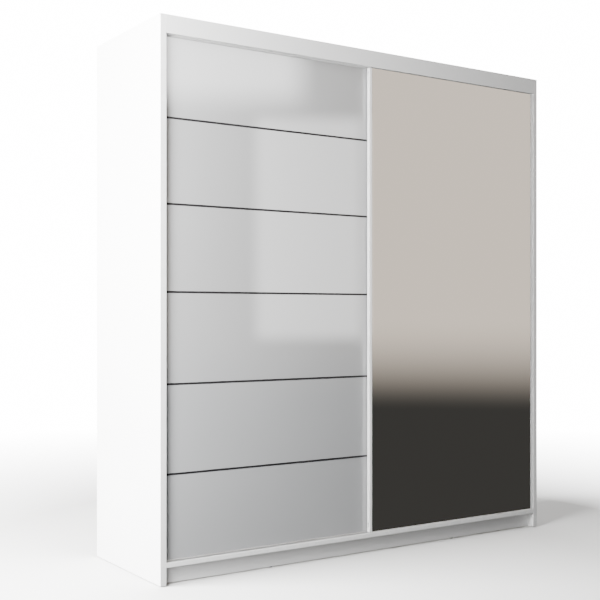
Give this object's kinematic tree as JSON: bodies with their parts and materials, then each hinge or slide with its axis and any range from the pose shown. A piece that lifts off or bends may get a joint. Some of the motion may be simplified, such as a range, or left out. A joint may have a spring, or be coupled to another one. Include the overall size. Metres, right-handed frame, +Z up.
{
  "type": "sliding door wardrobe",
  "caption": "Free-standing wardrobe with a striped glass door and a mirror door that slide past each other, a shelf bay and a hanging bay.",
  "frame": {"origin": "on the floor, at the middle of the footprint", "axes": "+X to the right seen from the front, +Y to the back, +Z up"},
  "size_m": [2, 0.6, 2.15],
  "materials": {
    "white_board": "white melamine, fine satin texture",
    "back_board": "thin white-faced fibreboard, matt",
    "grey_glass": "glossy, lacquered light grey on the back",
    "mirror": "silvered glass",
    "white_metal": "white gloss lacquer on an aluminium extrusion",
    "dark_strip": "graphite, satin",
    "bare_aluminium": "natural anodised, fine extrusion lines",
    "zinc_steel": "bright zinc plating",
    "chromed_tube": "polished",
    "black_plastic": "moulded, fine grain",
    "white_plastic": "extruded, smooth",
    "roller_nylon": "turned nylon",
    "beech": "plain fluted dowel",
    "soft_gasket": "smooth, slightly translucent",
    "grey_pile": "short dense pile"
  },
  "bodies": {
    "carcass": {"side_panel_left": "white_board", "side_panel_right": "white_board", "top_panel": "white_board", "bottom_panel": "white_board", "centre_partition": "white_board", "top_fascia": "white_board", "front_plinth": "white_board", "rear_plinth": "white_board", "plinth_support": "white_board", "back_panel_left": "back_board", "back_panel_right": "back_board", "back_joining_strip": "white_plastic", "top_track": "bare_aluminium", "bottom_track": "bare_aluminium", "hat_shelf": "white_board", "shelf_1": "white_board", "shelf_2": "white_board", "shelf_3": "white_board", "shelf_4": "white_board", "hanging_rail": "chromed_tube", "rail_supports": "chromed_tube", "shelf_pins": "zinc_steel", "cam_fittings": "zinc_steel", "dowels": "beech", "wall_brackets": "zinc_steel", "carcass_screws": "zinc_steel", "glides": "black_plastic", "track_stops": "black_plastic"},
    "glass_door": {"glass_door_board": "white_board", "glass_pane_1": "grey_glass", "glass_pane_2": "grey_glass", "glass_pane_3": "grey_glass", "glass_pane_4": "grey_glass", "glass_pane_5": "grey_glass", "glass_pane_6": "grey_glass", "divider_strips": "dark_strip", "glass_door_stile_left": "white_metal", "glass_door_stile_right": "white_metal", "glass_door_rails": "bare_aluminium", "glass_door_roller_housings": "black_plastic", "glass_door_guide_brackets": "zinc_steel", "glass_door_fasteners": "zinc_steel"},
    "mirror_door": {"mirror_door_board": "white_board", "mirror": "mirror", "mirror_door_stile_left": "white_metal", "mirror_door_stile_right": "white_metal", "mirror_door_rails": "bare_aluminium", "mirror_door_roller_housings": "black_plastic", "mirror_door_guide_brackets": "zinc_steel", "mirror_door_fasteners": "zinc_steel", "mirror_gaskets": "soft_gasket", "pile_seal": "grey_pile"},
    "glass_roller_left": {"glass_roller_left": "roller_nylon"},
    "glass_roller_right": {"glass_roller_right": "roller_nylon"},
    "glass_guide_left": {"glass_guide_left": "roller_nylon"},
    "glass_guide_right": {"glass_guide_right": "roller_nylon"},
    "mirror_roller_left": {"mirror_roller_left": "roller_nylon"},
    "mirror_roller_right": {"mirror_roller_right": "roller_nylon"},
    "mirror_guide_left": {"mirror_guide_left": "roller_nylon"},
    "mirror_guide_right": {"mirror_guide_right": "roller_nylon"}
  },
  "joints": [
    {"name": "glass_door_slide", "type": "slide", "parent": "carcass", "child": "glass_door", "axis": [1, 0, 0], "range_m": [0, 0.963]},
    {"name": "mirror_door_slide", "type": "slide", "parent": "carcass", "child": "mirror_door", "axis": [1, 0, 0], "range_m": [-0.963, 0]},
    {"name": "glass_roller_left_spin", "type": "hinge", "parent": "glass_door", "child": "glass_roller_left", "pos_m": [-0.924, -0.264, 0.0933], "axis": [0, 1, 0], "continuous": true},
    {"name": "glass_guide_left_spin", "type": "hinge", "parent": "glass_door", "child": "glass_guide_left", "pos_m": [-0.904, -0.24925, 2.098], "axis": [0, 0, 1], "continuous": true},
    {"name": "glass_roller_right_spin", "type": "hinge", "parent": "glass_door", "child": "glass_roller_right", "pos_m": [-0.039, -0.264, 0.0933], "axis": [0, 1, 0], "continuous": true},
    {"name": "glass_guide_right_spin", "type": "hinge", "parent": "glass_door", "child": "glass_guide_right", "pos_m": [-0.059, -0.24925, 2.098], "axis": [0, 0, 1], "continuous": true},
    {"name": "mirror_roller_left_spin", "type": "hinge", "parent": "mirror_door", "child": "mirror_roller_left", "pos_m": [0.039, -0.286, 0.0933], "axis": [0, 1, 0], "continuous": true},
    {"name": "mirror_guide_left_spin", "type": "hinge", "parent": "mirror_door", "child": "mirror_guide_left", "pos_m": [0.059, -0.27125, 2.098], "axis": [0, 0, 1], "continuous": true},
    {"name": "mirror_roller_right_spin", "type": "hinge", "parent": "mirror_door", "child": "mirror_roller_right", "pos_m": [0.924, -0.286, 0.0933], "axis": [0, 1, 0], "continuous": true},
    {"name": "mirror_guide_right_spin", "type": "hinge", "parent": "mirror_door", "child": "mirror_guide_right", "pos_m": [0.904, -0.27125, 2.098], "axis": [0, 0, 1], "continuous": true}
  ],
  "couplings": [
    {"joint": "glass_roller_left_spin", "follows": "glass_door_slide", "rad_per_m": 83.333},
    {"joint": "glass_guide_left_spin", "follows": "glass_door_slide", "rad_per_m": -100.5},
    {"joint": "glass_roller_right_spin", "follows": "glass_door_slide", "rad_per_m": 83.333},
    {"joint": "glass_guide_right_spin", "follows": "glass_door_slide", "rad_per_m": -100.5},
    {"joint": "mirror_roller_left_spin", "follows": "mirror_door_slide", "rad_per_m": 83.333},
    {"joint": "mirror_guide_left_spin", "follows": "mirror_door_slide", "rad_per_m": -100.5},
    {"joint": "mirror_roller_right_spin", "follows": "mirror_door_slide", "rad_per_m": 83.333},
    {"joint": "mirror_guide_right_spin", "follows": "mirror_door_slide", "rad_per_m": -100.5}
  ]
}
